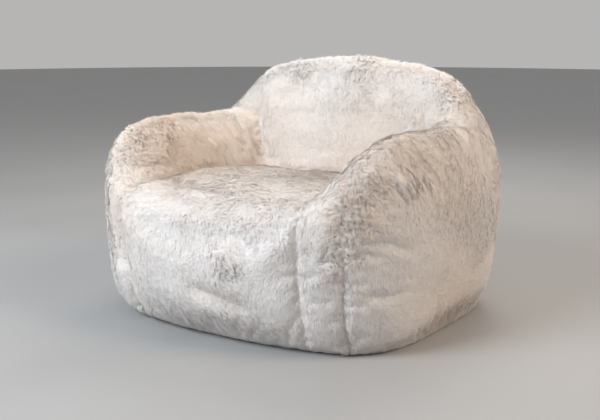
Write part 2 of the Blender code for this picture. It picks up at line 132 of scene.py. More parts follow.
# Where the pile is painted darker and warmer, as (panel, share of its box, radius, how much): painted warm
# shade where bounce light falls in the hollows and low down by the floor, partly the fur's own beige tint.
WARM_TINT_AND_PAINTED_SHADE = (
    ("left_arm_inner_panel", (0.300, 0.400, 0.800), 0.280, 1.00),
    ("left_arm_inner_panel", (0.450, 0.800, 0.500), 0.200, 0.70),
    ("right_arm_inner_panel", (0.450, 0.500, 0.550), 0.260, 0.60),
    ("left_arm_strip", (0.500, 0.450, 0.950), 0.200, 0.80),
    ("left_arm_strip", (0.650, 0.050, 0.600), 0.120, 0.60),
    ("right_arm_strip", (0.820, 0.200, 0.750), 0.110, 0.45),
    ("back_inner_panel", (0.300, 0.350, 0.180), 0.180, 0.50),
    ("back_inner_panel", (0.650, 0.350, 0.180), 0.220, 0.75),
    ("back_inner_panel", (0.850, 0.500, 0.480), 0.120, 0.40),
    ("right_side_panel", (0.980, 0.450, 0.700), 0.200, 0.30),
    ("right_side_panel", (0.950, 0.500, 0.080), 0.260, 0.55),
    ("left_side_panel", (0.050, 0.500, 0.080), 0.260, 0.55),
    ("rear_panel", (0.500, 0.950, 0.060), 0.320, 0.50),
    ("seat_panel", (0.500, 0.700, 0.950), 0.160, 0.20),
)

# Where a hand has smoothed the pile down flat, as (panel, share of its box, radius).
SMOOTHED = (
    ("seat_panel", (0.150, 0.060, 0.600), 0.170),
    ("seat_panel", (0.400, 0.010, 0.420), 0.110),
    ("seat_panel", (0.930, 0.050, 0.350), 0.090),
    ("back_inner_panel", (0.250, 0.350, 0.300), 0.160),
    ("back_inner_panel", (0.600, 0.350, 0.250), 0.180),
    ("back_inner_panel", (0.150, 0.450, 0.600), 0.110),
    ("left_arm_inner_panel", (0.450, 0.620, 0.550), 0.150),
    ("left_arm_inner_panel", (0.500, 0.850, 0.300), 0.120),
    ("right_arm_inner_panel", (0.500, 0.600, 0.500), 0.170),
    ("right_side_panel", (0.960, 0.300, 0.560), 0.120),
    ("right_side_panel", (0.980, 0.560, 0.420), 0.170),
    ("right_side_panel", (0.980, 0.750, 0.650), 0.150),
    ("left_side_panel", (0.020, 0.600, 0.550), 0.180),
    ("rear_panel", (0.450, 0.980, 0.550), 0.170),
    ("rear_panel", (0.800, 0.950, 0.620), 0.130),
)

# Hand strokes that turned the pile, as (panel, from, to, radius, how firmly).
STROKES = (
    ("seat_panel", (0.134, 0.286, 0.948), (0.447, 0.169, 0.930), 0.045, 1.0),
    ("seat_panel", (0.150, 0.060, 0.300), (0.900, 0.060, 0.200), 0.050, 0.7),
    ("seat_panel", (0.250, 0.030, 0.420), (0.550, 0.020, 0.330), 0.040, 0.6),
    ("right_side_panel", (0.867, 0.100, 0.210), (0.821, 0.900, 0.150), 0.035, 1.0),
    ("right_side_panel", (0.912, 0.150, 0.120), (0.899, 0.850, 0.250), 0.035, 0.9),
    ("right_side_panel", (0.940, 0.200, 0.420), (0.960, 0.600, 0.300), 0.060, 0.5),
    ("right_arm_strip", (0.300, 0.080, 0.300), (0.500, 0.060, 0.050), 0.060, 0.9),
    ("right_arm_strip", (0.150, 0.040, 0.560), (0.500, 0.080, 0.760), 0.060, 0.8),
    ("back_inner_panel", (0.300, 0.400, 0.480), (0.760, 0.450, 0.500), 0.035, 0.8),
    ("back_inner_panel", (0.200, 0.600, 0.720), (0.450, 0.700, 0.800), 0.045, 0.7),
    ("left_arm_strip", (0.700, 0.050, 0.300), (0.500, 0.060, 0.600), 0.050, 0.5),
    ("rear_panel", (0.200, 0.950, 0.300), (0.700, 0.950, 0.250), 0.060, 0.8),
    ("left_side_panel", (0.060, 0.200, 0.200), (0.050, 0.850, 0.260), 0.050, 0.8),
)

# Creases pressed into the cover, as (panel, from, to, width, depth).
CREASES = (
    ("right_side_panel", (0.790, 0.085, 0.740), (0.880, 0.115, 0.610), 0.0065, 0.017),
    ("right_side_panel", (0.830, 0.145, 0.745), (0.930, 0.215, 0.605), 0.0065, 0.018),
    ("right_side_panel", (0.864, 0.205, 0.740), (0.940, 0.260, 0.630), 0.0065, 0.015),
    ("right_side_panel", (0.900, 0.290, 0.720), (0.950, 0.330, 0.650), 0.008, 0.010),
    ("seat_panel", (0.134, 0.300, 0.970), (0.230, 0.170, 0.900), 0.014, 0.010),
    ("seat_panel", (0.230, 0.170, 0.900), (0.447, 0.150, 0.910), 0.014, 0.009),
    ("seat_panel", (0.420, 0.030, 0.400), (0.780, 0.030, 0.300), 0.024, 0.007),
    ("left_arm_inner_panel", (0.110, 0.420, 1.000), (0.190, 0.400, 0.880), 0.010, 0.012),
    ("back_inner_panel", (0.560, 0.600, 0.820), (0.640, 0.500, 0.640), 0.020, 0.006),
    ("left_side_panel", (0.180, 0.300, 0.740), (0.060, 0.360, 0.600), 0.014, 0.010),
    ("left_side_panel", (0.200, 0.400, 0.760), (0.060, 0.470, 0.640), 0.014, 0.009),
    ("rear_panel", (0.350, 0.800, 0.900), (0.320, 0.950, 0.700), 0.018, 0.009),
    ("rear_panel", (0.500, 0.800, 0.920), (0.520, 0.960, 0.740), 0.018, 0.008),
)


# ---------------------------------------------------------------- settings

class CoverSettings(bpy.types.PropertyGroup):
    """Sizes of the sewn cover, without its pile."""

    pile_depth: FloatProperty(
        name="Pile depth", description="How far the backing lies under the tips of the fur",
        default=0.006, min=0.003, max=0.04, unit="LENGTH")
    grid: FloatProperty(
        name="Grid", description="Size of the squares that the cover is remeshed in",
        default=0.0105, min=0.006, max=0.02, unit="LENGTH")
    seam_depth: FloatProperty(
        name="Seam depth", description="How far a seam pulls the cover in",
        default=0.010, min=0.0, max=0.03, unit="LENGTH")
    seam_width: FloatProperty(
        name="Seam width", description="How far from a seam its pull reaches",
        default=0.011, min=0.005, max=0.06, unit="LENGTH")
    pressure: FloatProperty(
        name="Bead pressure", description="How hard the beads push on the cover",
        default=3.2, min=0.0, max=12.0)
    slack: FloatProperty(
        name="Slack", description="Share by which the cloth is cut larger than the form",
        default=0.020, min=0.0, max=0.12)
    puff_limit: FloatProperty(
        name="Puff limit", description="The furthest that the cover may move as it fills",
        default=0.021, min=0.0, max=0.04, unit="LENGTH")
    backing_thickness: FloatProperty(
        name="Backing thickness", description="Thickness of the backing under the pile",
        default=0.006, min=0.001, max=0.012, unit="LENGTH")
    backing_colour: FloatVectorProperty(
        name="Backing colour", description="Colour of the cloth at the roots of the pile",
        default=(0.70, 0.64, 0.58), subtype="COLOR", size=3, min=0.0, max=1.0)


class FurSettings(bpy.types.PropertyGroup):
    """Sizes and colours of the pile."""

    length: FloatProperty(
        name="Length", description="Length of a hair from root to tip",
        default=0.0175, min=0.008, max=0.06, unit="LENGTH")
    lock_spacing: FloatProperty(
        name="Lock spacing", description="Distance between the locks that the pile falls into",
        default=0.0066, min=0.004, max=0.02, unit="LENGTH")
    hairs_per_lock: IntProperty(
        name="Hairs per lock", description="How many hairs cling together in a lock",
        default=14, min=3, max=40)
    hair_width: FloatProperty(
        name="Hair width", description="Width of a bundle of hairs at its root",
        default=0.0014, min=0.0004, max=0.004, unit="LENGTH")
    tip_colour: FloatVectorProperty(
        name="Tip colour", description="Colour of the outer half of the pile",
        default=(0.92, 0.90, 0.885), subtype="COLOR", size=3, min=0.0, max=1.0)
    middle_colour: FloatVectorProperty(
        name="Middle colour", description="Colour half way down the pile",
        default=(0.86, 0.82, 0.785), subtype="COLOR", size=3, min=0.0, max=1.0)
    root_colour: FloatVectorProperty(
        name="Root colour", description="Colour at the foot of the pile, seen where it parts",
        default=(0.64, 0.54, 0.46), subtype="COLOR", size=3, min=0.0, max=1.0)


class LiningSettings(bpy.types.PropertyGroup):
    """Sizes and colours of the base cloth, the zips, the liners and the beads."""

    base_colour: FloatVectorProperty(
        name="Base colour", description="Colour of the woven cloth underneath",
        default=(0.035, 0.035, 0.040), subtype="COLOR", size=3, min=0.0, max=1.0)
    tape_colour: FloatVectorProperty(
        name="Tape colour", description="Colour of the zip tapes",
        default=(0.60, 0.57, 0.52), subtype="COLOR", size=3, min=0.0, max=1.0)
    liner_colour: FloatVectorProperty(
        name="Liner colour", description="Colour of the inner bags",
        default=(0.72, 0.71, 0.68), subtype="COLOR", size=3, min=0.0, max=1.0)
    bead_colour: FloatVectorProperty(
        name="Bead colour", description="Colour of the foam beads",
        default=(0.88, 0.88, 0.87), subtype="COLOR", size=3, min=0.0, max=1.0)
    tooth_pitch: FloatProperty(
        name="Tooth pitch", description="Distance from one zip tooth to the next",
        default=0.0032, min=0.001, max=0.006, unit="LENGTH")
    bead_size: FloatProperty(
        name="Bead size", description="Diameter of a foam bead",
        default=0.0060, min=0.002, max=0.012, unit="LENGTH")
    liner_wrinkle: FloatProperty(
        name="Liner wrinkle", description="Furthest that an inner bag swells",
        default=0.003, min=0.0, max=0.01, unit="LENGTH")


class StudioSettings(bpy.types.PropertyGroup):
    """Light, floor and camera."""

    floor_colour: FloatVectorProperty(
        name="Floor colour", description="Colour of the floor",
        default=(0.36, 0.365, 0.37), subtype="COLOR", size=3, min=0.0, max=1.0)
    room_light: FloatProperty(
        name="Room light", description="Strength of the light from all round",
        default=0.52, min=0.0, max=5.0)
    key_power: FloatProperty(
        name="Key power", description="Power of the cool light at the front left, in watts",
        default=184.0, min=0.0, max=1000.0)
    fill_power: FloatProperty(
        name="Fill power", description="Power of the warm light at the right, in watts",
        default=78.0, min=0.0, max=1000.0)
    camera_height: FloatProperty(
        name="Camera height", description="Height of the camera over the floor",
        default=0.939, min=0.1, max=4.0, unit="LENGTH")


# ---------------------------------------------------------------- meshes

def triangles_of(mesh):
    """Vertices, triangles, the face of each triangle, and vertex normals, as arrays."""
    mesh.calc_loop_triangles()
    points = np.empty(len(mesh.vertices) * 3, np.float32)
    mesh.vertices.foreach_get("co", points)
    corners = np.empty(len(mesh.loop_triangles) * 3, np.int32)
    mesh.loop_triangles.foreach_get("vertices", corners)
    faces = np.empty(len(mesh.loop_triangles), np.int32)
    mesh.loop_triangles.foreach_get("polygon_index", faces)
    normals = np.empty(len(mesh.vertices) * 3, np.float32)
    mesh.vertex_normals.foreach_get("vector", normals)
    points = points.reshape(-1, 3).astype(float)
    normals = normals.reshape(-1, 3).astype(float)
    return points, corners.reshape(-1, 3), faces, normals


def set_points(mesh, points):
    mesh.vertices.foreach_set("co", points.astype(np.float32).ravel())
    mesh.update()


def mesh_from(name, points, faces):
    mesh = bpy.data.meshes.new(name)
    mesh.from_pydata([tuple(p) for p in points], [], [tuple(int(i) for i in f) for f in faces])
    mesh.update()
    return mesh


def new_object(name, mesh, smooth=True):
    piece = bpy.data.objects.new(name, mesh)
    bpy.context.scene.collection.objects.link(piece)
    if smooth:
        mesh.shade_smooth()
    return piece


def evaluated(piece):
    """The piece's mesh with its modifiers applied, as a mesh of its own."""
    bpy.context.view_layer.update()
    graph = bpy.context.evaluated_depsgraph_get()
    return bpy.data.meshes.new_from_object(piece.evaluated_get(graph), depsgraph=graph)


def remeshed(name, mesh, size):
    guide = new_object(name, mesh, smooth=False)
    squares = guide.modifiers.new("squares", "REMESH")
    squares.mode = "VOXEL"
    squares.voxel_size = size
    result = evaluated(guide)
    bpy.data.objects.remove(guide)
    return result


def outer_island(mesh):
    """Only the island of a mesh that reaches furthest out."""
    points, _, _, _ = triangles_of(mesh)
    edges = np.empty(len(mesh.edges) * 2, np.int32)
    mesh.edges.foreach_get("vertices", edges)
    a, b = edges.reshape(-1, 2).T
    label = np.arange(len(points))
    while True:
        lower = np.minimum(label[a], label[b])
        joined = label.copy()
        np.minimum.at(joined, a, lower)
        np.minimum.at(joined, b, lower)
        joined = joined[joined]
        if (joined == label).all():
            break
        label = joined
    names = np.unique(label)
    reach = [float(np.ptp(points[label == n], axis=0).sum()) for n in names]
    keep = label == names[int(np.argmax(reach))]
    bm = bmesh.new()
    bm.from_mesh(mesh)
    bm.verts.ensure_lookup_table()
    bmesh.ops.delete(bm, geom=[bm.verts[i] for i in np.flatnonzero(~keep)], context="VERTS")
    bm.to_mesh(mesh)
    bm.free()
    mesh.update()
    return mesh


def noise(points, size, seed):
    """Smooth noise from -1 to 1, with bumps about that size across."""
    place = points / size + 31.7 + 17.31 * seed
    cell = np.floor(place).astype(np.int64)
    part = place - cell
    part = part * part * (3.0 - 2.0 * part)
    total = np.zeros(len(points))
    for corner in range(8):
        step = np.array([(corner >> k) & 1 for k in range(3)])
        at = cell + step
        mixed = (at[:, 0] * 73856093) ^ (at[:, 1] * 19349663) ^ (at[:, 2] * 83492791) ^ (seed * 26544357)
        mixed = (mixed ^ (mixed >> 13)) * 1274126177
        value = ((mixed ^ (mixed >> 16)) & 0xFFFF) / 32767.5 - 1.0
        total += value * np.prod(np.where(step == 1, part, 1.0 - part), axis=1)
    return total


def unit(vectors):
    return vectors / np.maximum(np.linalg.norm(vectors, axis=-1, keepdims=True), 1e-9)


def along_surface(vectors, normals):
    """The vectors with what points out of the surface taken away, as unit vectors."""
    return unit(vectors - (vectors * normals).sum(1, keepdims=True) * normals)


def smooth_step(value, low, high):
    x = np.clip((value - low) / (high - low), 0.0, 1.0)
    return x * x * (3.0 - 2.0 * x)


def spot(node, share):
    """The point at that share of a node's box."""
    low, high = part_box(node)
    return np.array([low[k] + share[k] * (high[k] - low[k]) for k in range(3)])


def to_segment(points, a, b):
    """Distance of each point from the segment from a to b, and how far along it lies."""
    along = np.clip(((points - a) @ (b - a)) / max(float((b - a) @ (b - a)), 1e-12), 0.0, 1.0)
    return np.linalg.norm(points - (a + along[:, None] * (b - a)), axis=1), along


# ---------------------------------------------------------------- materials

def new_material(name):
    material = bpy.data.materials.new(name)
    material.use_nodes = True
    tree = material.node_tree
    shader = next(n for n in tree.nodes if n.type == "BSDF_PRINCIPLED")
    return material, tree, shader


def add_node(tree, kind, settings=None, **inputs):
    node = tree.nodes.new(kind)
    for key, value in (settings or {}).items():
        setattr(node, key, value)
    for key, value in inputs.items():
        node.inputs[key.replace("_", " ")].default_value = value
    return node


def mix_colour(tree, factor, first, second, kind="MIX"):
    """A colour mix whose factor and colours are sockets or plain values."""
    node = tree.nodes.new("ShaderNodeMix")
    node.data_type = "RGBA"
    node.blend_type = kind
    for place, value in ((0, factor), (6, first), (7, second)):
        if isinstance(value, bpy.types.NodeSocket):
            tree.links.new(value, node.inputs[place])
        elif place == 0:
            node.inputs[0].default_value = value
        else:
            node.inputs[place].default_value = (*value, 1.0)
    return node.outputs[2]


def scaled(tree, value, low, high, to_low, to_high):
    node = tree.nodes.new("ShaderNodeMapRange")
    node.inputs["From Min"].default_value = low
    node.inputs["From Max"].default_value = high
    node.inputs["To Min"].default_value = to_low
    node.inputs["To Max"].default_value = to_high
    tree.links.new(value, node.inputs["Value"])
    return node.outputs["Result"]


def object_noise(tree, scale, detail=4.0, stretch=None):
    place = tree.nodes.new("ShaderNodeTexCoord")
    source = place.outputs["Object"]
    if stretch:
        mapping = tree.nodes.new("ShaderNodeMapping")
        mapping.inputs["Scale"].default_value = stretch
        tree.links.new(source, mapping.inputs["Vector"])
        source = mapping.outputs["Vector"]
    texture = add_node(tree, "ShaderNodeTexNoise", Scale=scale, Detail=detail)
    tree.links.new(source, texture.inputs["Vector"])
    return texture.outputs["Fac"]


def add_bump(tree, shader, height, strength, distance):
    bump = add_node(tree, "ShaderNodeBump", Strength=strength, Distance=distance)
    tree.links.new(height, bump.inputs["Height"])
    tree.links.new(bump.outputs["Normal"], shader.inputs["Normal"])


def fur_material(settings):
    """Hair that runs from a taupe root to an ivory tip."""
    material, tree, shader = new_material("cream_fur")
    along = add_node(tree, "ShaderNodeAttribute", {"attribute_name": "along_hair"}).outputs["Fac"]
    shade = add_node(tree, "ShaderNodeAttribute", {"attribute_name": "hair_shade"}).outputs["Fac"]
    parted = add_node(tree, "ShaderNodeAttribute", {"attribute_name": "parted"}).outputs["Fac"]
    lower = mix_colour(
        tree, scaled(tree, along, 0.0, 0.30, 0.25, 1.0), settings.root_colour, settings.middle_colour)
    whole = mix_colour(tree, scaled(tree, along, 0.10, 0.55, 0.0, 1.0), lower, settings.tip_colour)
    taupe = mix_colour(tree, scaled(tree, parted, 0.0, 1.0, 0.0, 0.70), whole, mix_colour(
        tree, scaled(tree, along, 0.2, 1.0, 0.0, 1.0), settings.root_colour, settings.middle_colour))
    broad = scaled(tree, object_noise(tree, 7.0, 5.0), 0.35, 0.7, 0.0, 0.20)
    tinted = mix_colour(tree, broad, taupe, (0.82, 0.74, 0.66))
    # Painted warm shade: this mark multiplies the colour darker and warmer in the hollows and low down by
    # the floor, partly the fur's own beige tint.
    warm = add_node(tree, "ShaderNodeAttribute", {"attribute_name": "warmth"}).outputs["Fac"]
    warm_tint_and_shade = mix_colour(tree, warm, tinted, (0.84, 0.745, 0.66), "MULTIPLY")
    darker = mix_colour(tree, 1.0, warm_tint_and_shade, scaled(tree, shade, 0.0, 1.0, 0.92, 1.03), "MULTIPLY")
    tree.links.new(darker, shader.inputs["Base Color"])
    rough = scaled(tree, shade, 0.0, 1.0, 0.62, 0.80)
    tree.links.new(rough, shader.inputs["Roughness"])
    shader.inputs["Specular IOR Level"].default_value = 0.25
    shader.inputs["Sheen Weight"].default_value = 0.30
    shader.inputs["Sheen Roughness"].default_value = 0.45
    shader.inputs["Sheen Tint"].default_value = (1.0, 0.97, 0.94, 1.0)
    return material


def backing_material(settings):
    """The knitted backing and the dense underfur on it."""
    material, tree, shader = new_material("fur_backing")
    blotch = scaled(tree, object_noise(tree, 22.0, 6.0), 0.3, 0.7, 0.0, 1.0)
    strand = scaled(tree, object_noise(tree, 260.0, 3.0, (1.0, 1.0, 0.25)), 0.3, 0.7, 0.0, 1.0)
    light = tuple(min(1.0, c * 1.35) for c in settings.backing_colour)
    colour = mix_colour(tree, blotch, settings.backing_colour, light)
    tree.links.new(
        mix_colour(tree, scaled(tree, strand, 0.0, 1.0, 0.0, 0.4), colour, (0.78, 0.74, 0.70)),
        shader.inputs["Base Color"])
    tree.links.new(scaled(tree, strand, 0.0, 1.0, 0.85, 0.97), shader.inputs["Roughness"])
    shader.inputs["Sheen Weight"].default_value = 0.4
    add_bump(tree, shader, strand, 0.8, 0.003)
    return material


def woven_material(name, colour, threads, sheen, rough):
    """Cloth of crossed threads, that many to the metre."""
    material, tree, shader = new_material(name)
    place = tree.nodes.new("ShaderNodeTexCoord")
    waves = []
    for direction in ("X", "Y", "Z"):
        wave = add_node(
            tree, "ShaderNodeTexWave", {"bands_direction": direction},
            Scale=threads / 20.0, Distortion=0.6, Detail=2.0)
        tree.links.new(place.outputs["Object"], wave.inputs["Vector"])
        waves.append(wave.outputs["Fac"])
    crossed = tree.nodes.new("ShaderNodeMath")
    crossed.operation = "MULTIPLY"
    tree.links.new(waves[0], crossed.inputs[0])
    tree.links.new(waves[1], crossed.inputs[1])
    both = tree.nodes.new("ShaderNodeMath")
    both.operation = "ADD"
    tree.links.new(crossed.outputs[0], both.inputs[0])
    tree.links.new(waves[2], both.inputs[1])
    weave = scaled(tree, both.outputs[0], 0.0, 2.0, 0.0, 1.0)
    dark = tuple(c * 0.62 for c in colour)
    cloth = mix_colour(tree, weave, dark, colour)
    worn = scaled(tree, object_noise(tree, 9.0, 5.0), 0.35, 0.75, 0.0, 0.25)
    tree.links.new(
        mix_colour(tree, worn, cloth, tuple(min(1.0, c * 1.3 + 0.02) for c in colour)),
        shader.inputs["Base Color"])
    tree.links.new(scaled(tree, weave, 0.0, 1.0, rough + 0.08, rough - 0.08), shader.inputs["Roughness"])
    shader.inputs["Sheen Weight"].default_value = sheen
    add_bump(tree, shader, weave, 0.5, 0.0006)
    return material


def bead_material(settings):
    """Foam beads packed against each other, with painted shade darkening each bead towards the gaps between
    them.
    """
    material, tree, shader = new_material("foam_beads")
    place = tree.nodes.new("ShaderNodeTexCoord")
    cells = add_node(tree, "ShaderNodeTexVoronoi", Scale=1.0 / settings.bead_size)
    tree.links.new(place.outputs["Object"], cells.inputs["Vector"])
    bead_gap_shade = scaled(tree, cells.outputs["Distance"], 0.25, 0.75, 0.0, 1.0)
    # Painted shade: the colour darkens towards the gaps between the beads.
    bead = mix_colour(tree, bead_gap_shade, settings.bead_colour, tuple(c * 0.55 for c in settings.bead_colour))
    tree.links.new(bead, shader.inputs["Base Color"])
    tree.links.new(scaled(tree, bead_gap_shade, 0.0, 1.0, 0.45, 0.8), shader.inputs["Roughness"])
    add_bump(tree, shader, scaled(tree, cells.outputs["Distance"], 0.0, 0.8, 1.0, 0.0), 1.0, 0.003)
    return material


def metal_material():
    """Nickel-plated zinc, rubbed along its edges."""
    material, tree, shader = new_material("nickel_plate")
    scratch = scaled(tree, object_noise(tree, 900.0, 4.0, (1.0, 0.1, 1.0)), 0.3, 0.7, 0.0, 1.0)
    colour = mix_colour(tree, scratch, (0.62, 0.60, 0.57), (0.74, 0.73, 0.71))
    tree.links.new(colour, shader.inputs["Base Color"])
    tree.links.new(scaled(tree, scratch, 0.0, 1.0, 0.24, 0.42), shader.inputs["Roughness"])
    shader.inputs["Metallic"].default_value = 1.0
    add_bump(tree, shader, scratch, 0.2, 0.0001)
    return material


def nylon_material():
    """Moulded zip teeth."""
    material, tree, shader = new_material("nylon_teeth")
    grain = scaled(tree, object_noise(tree, 700.0, 3.0), 0.3, 0.7, 0.0, 1.0)
    colour = mix_colour(tree, grain, (0.62, 0.60, 0.56), (0.72, 0.70, 0.66))
    tree.links.new(colour, shader.inputs["Base Color"])
    tree.links.new(scaled(tree, grain, 0.0, 1.0, 0.34, 0.5), shader.inputs["Roughness"])
    add_bump(tree, shader, grain, 0.15, 0.0001)
    return material


def floor_material(settings):
    """Smooth matt studio floor."""
    material, tree, shader = new_material("studio_floor")
    cloud = scaled(tree, object_noise(tree, 1.6, 5.0), 0.3, 0.7, 0.0, 1.0)
    dim = tuple(c * 0.93 for c in settings.floor_colour)
    tree.links.new(mix_colour(tree, cloud, dim, settings.floor_colour), shader.inputs["Base Color"])
    tree.links.new(scaled(tree, cloud, 0.0, 1.0, 0.55, 0.7), shader.inputs["Roughness"])
    return material


# ---------------------------------------------------------------- the cover

def panel_tree():
    """A search tree of all the cover's panels, and the panel of each triangle in it."""
    points, faces, owner = [], [], []
    for number, name in enumerate(FUR_PANELS + ("base_panel",)):
        co, corners, _, _ = triangles_of(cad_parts[name].data)
        faces += (corners + len(points)).tolist()
        points += co.tolist()
        owner += [number] * len(corners)
    return BVHTree.FromPolygons(points, faces), np.array(owner), points, faces


def cover_shell(settings):
    """The outside of the whole cover as one closed mesh, each face marked with its panel."""
    tree, owner, points, faces = panel_tree()
    shell = outer_island(remeshed("cover_shell", mesh_from("cover_shell", points, faces), settings.grid))
    panels = np.array([owner[tree.find_nearest(f.center)[2]] for f in shell.polygons], np.int32)
    for _ in range(len(FUR_PANELS) + 1):
        shell.materials.append(None)
    shell.polygons.foreach_set("material_index", panels)
    return shell, panels


def seam_distances(shell, panels):
    """How far each vertex of the shell is from the nearest flat seam and the nearest ruffled one."""
    names = FUR_PANELS + ("base_panel",)
    low = np.full(len(shell.vertices), 99)
    high = np.full(len(shell.vertices), -1)
    for face, panel in zip(shell.polygons, panels):
        for v in face.vertices:
            low[v] = min(low[v], panel)
            high[v] = max(high[v], panel)
    found = []
    for wanted in (False, True):
        on_seam = [i for i in np.flatnonzero(low != high)
                   if is_ruffled(names[low[i]], names[high[i]]) == wanted]
        tree = KDTree(len(on_seam))
        for i in on_seam:
            tree.insert(shell.vertices[i].co, int(i))
        tree.balance()
        found.append(np.array([tree.find(v.co)[2] for v in shell.vertices]))
    return found


def is_ruffled(first, second):
    """Whether the pile stands up tousled along the seam between two panels."""
    pair = {first, second}
    if "base_panel" in pair or "seat_panel" in pair:
        return False
    return "back_top_strip" in pair or any("arm_strip" in name for name in pair)


def fill_with_beads(shell, pinned, pressure, slack, limit):
    """Blows a sewn bag up between its pinned seams with a cloth simulation, as its beads do."""
    before, _, _, _ = triangles_of(shell)
    bag = new_object("bag_being_filled", shell, smooth=False)
    group = bag.vertex_groups.new(name="seams")
    for i, weight in enumerate(pinned):
        if weight > 0.02:
            group.add([i], float(weight), "REPLACE")
    cloth = bag.modifiers.new("filling", "CLOTH")
    cloth.settings.quality = 4
    cloth.settings.mass = 0.35
    cloth.settings.tension_stiffness = 12.0
    cloth.settings.compression_stiffness = 12.0
    cloth.settings.shear_stiffness = 4.0
    cloth.settings.bending_stiffness = 0.6
    cloth.settings.shrink_min = -slack
    cloth.settings.use_pressure = True
    cloth.settings.uniform_pressure_force = pressure
    cloth.settings.effector_weights.gravity = 0.0
    cloth.settings.vertex_group_mass = "seams"
    cloth.collision_settings.use_collision = False
    cloth.collision_settings.use_self_collision = False
    scene = bpy.context.scene
    for number in range(1, 21):
        scene.frame_set(number)
    filled = evaluated(bag)
    after, _, _, _ = triangles_of(filled)
    scene.frame_set(1)
    bpy.data.objects.remove(bag)
    move = after - before
    length = np.linalg.norm(move, axis=1, keepdims=True)
    print("filled: moved", round(float(np.median(length)) * 1000, 1), "mm at most places,",
          round(float(length.max()) * 1000, 1), "mm at most")
    return before + move * limit * np.tanh(length / limit) / np.maximum(length, 1e-9)


def crease_depths(points):
    """How deep the folds pressed into the cover are at each point, their soft ridges below zero."""
    total = np.zeros(len(points))
    for panel, start, end, width, depth in CREASES:
        away, along = to_segment(points, spot(panel, start), spot(panel, end))
        ends = 1.0 - (2.0 * along - 1.0) ** 4
        profile = np.exp(-(away / width) ** 2) - 0.45 * np.exp(-((away - 2.1 * width) / width) ** 2)
        total = total + depth * profile * ends
    return total


def seam_pull(distance, points, settings):
    """How far the seams pull the cover in, deeper where a seam gapes."""
    uneven = 1.0 + 0.35 * noise(points, 0.05, 4)
    low = 1.0 + 0.35 * (1.0 - smooth_step(points[:, 2], 0.10, 0.36))
    return settings.seam_depth * uneven * low * np.exp(-(distance / settings.seam_width) ** 2)


def both_seams(flat_seam, ruffled_seam, points, settings):
    """The pull of the nearest seams: a ruffled one sits shallow under its tousled pile."""
    flat = 0.50 * seam_pull(flat_seam, points, settings)
    low = 0.15 + 0.5 * (1.0 - smooth_step(points[:, 2], 0.16, 0.34))
    return np.maximum(flat, low * seam_pull(ruffled_seam, points, settings))


def filled_cover(settings):
    """The cover's backing over its beads: seams pulled in, panels puffed, folds pressed in."""
    shell, panels = cover_shell(settings)
    points, _, _, normals = triangles_of(shell)
    flat_seam, ruffled_seam = seam_distances(shell, panels)
    distance = np.minimum(flat_seam, ruffled_seam)
    base = np.zeros(len(points), bool)
    for face, panel in zip(shell.polygons, panels):
        if panel == len(FUR_PANELS):
            base[list(face.vertices)] = True
    lifted = smooth_step(points[:, 2], 0.004, 0.05)
    inward = settings.pile_depth * (0.25 + 0.75 * lifted)
    lumps = (0.0045 * noise(points, 0.23, 1) + 0.0030 * noise(points, 0.09, 2)
             + 0.0012 * noise(points, 0.04, 3))
    points = points + normals * (lifted * lumps - inward)[:, None]
    set_points(shell, points)
    pinned = np.maximum(np.exp(-(distance / 0.012) ** 2), 1.0 - lifted)
    pinned[base] = 1.0
    points = fill_with_beads(shell, pinned, settings.pressure, settings.slack, settings.puff_limit)
    set_points(shell, points)
    _, _, _, normals = triangles_of(shell)
    pull = 0.4 * both_seams(flat_seam, ruffled_seam, points, settings)
    points = points - normals * (pull * lifted)[:, None]
    points[:, 2] = np.maximum(points[:, 2], 0.002)
    set_points(shell, points)
    for label, values in (("flat_seam", flat_seam), ("ruffled_seam", ruffled_seam)):
        store = shell.attributes.new(label, "FLOAT", "POINT")
        store.data.foreach_set("value", values.astype(np.float32))
    guide = new_object("cover_form", shell, smooth=False)
    finer = guide.modifiers.new("finer", "SUBSURF")
    finer.levels = 1
    finer.render_levels = 1
    form = evaluated(guide)
    bpy.data.objects.remove(guide)
    return with_fine_relief(form, settings)


def seam_marks(form):
    """The stored distances from the nearest flat seam and the nearest ruffled one."""
    found = []
    for label in ("flat_seam", "ruffled_seam"):
        values = np.empty(len(form.vertices), np.float32)
        form.attributes[label].data.foreach_get("value", values)
        found.append(values.astype(float))
    return found


def with_fine_relief(form, settings):
    """Presses the narrow grooves of the seams and folds, and raises the tufts, on the fine grid."""
    points, _, _, normals = triangles_of(form)
    flat_seam, ruffled_seam = seam_marks(form)
    lifted = smooth_step(points[:, 2], 0.004, 0.05)
    groove = 0.6 * both_seams(flat_seam, ruffled_seam, points, settings)
    tousled, _ = tousle(points, flat_seam, ruffled_seam)
    tufts = 0.0028 * noise(points, 0.020, 5) + 0.0028 * noise(points, 0.042, 6)
    move = tufts * tousled - groove - crease_depths(points)
    points = points + normals * (move * lifted)[:, None]
    points[:, 2] = np.maximum(points[:, 2], 0.002)
    set_points(form, points)
    return form


def backing_piece(form, number, settings, material):
    """One panel's backing, cut out of the filled form and given its thickness."""
    name = FUR_PANELS[number]
    bm = bmesh.new()
    bm.from_mesh(form)
    others = [f for f in bm.faces if f.material_index != number]
    bmesh.ops.delete(bm, geom=others, context="FACES")
    for face in bm.faces:
        face.material_index = 0
        face.smooth = True
    mesh = bpy.data.meshes.new(name + "_backing")
    bm.to_mesh(mesh)
    bm.free()
    mesh.materials.clear()
    mesh.materials.append(material)
    piece = new_object(name + "_backing", mesh)
    thick = piece.modifiers.new("backing", "SOLIDIFY")
    thick.thickness = settings.backing_thickness
    thick.offset = -1.0
    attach(piece, "chair")
    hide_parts(name)
    return piece


# ---------------------------------------------------------------- the pile

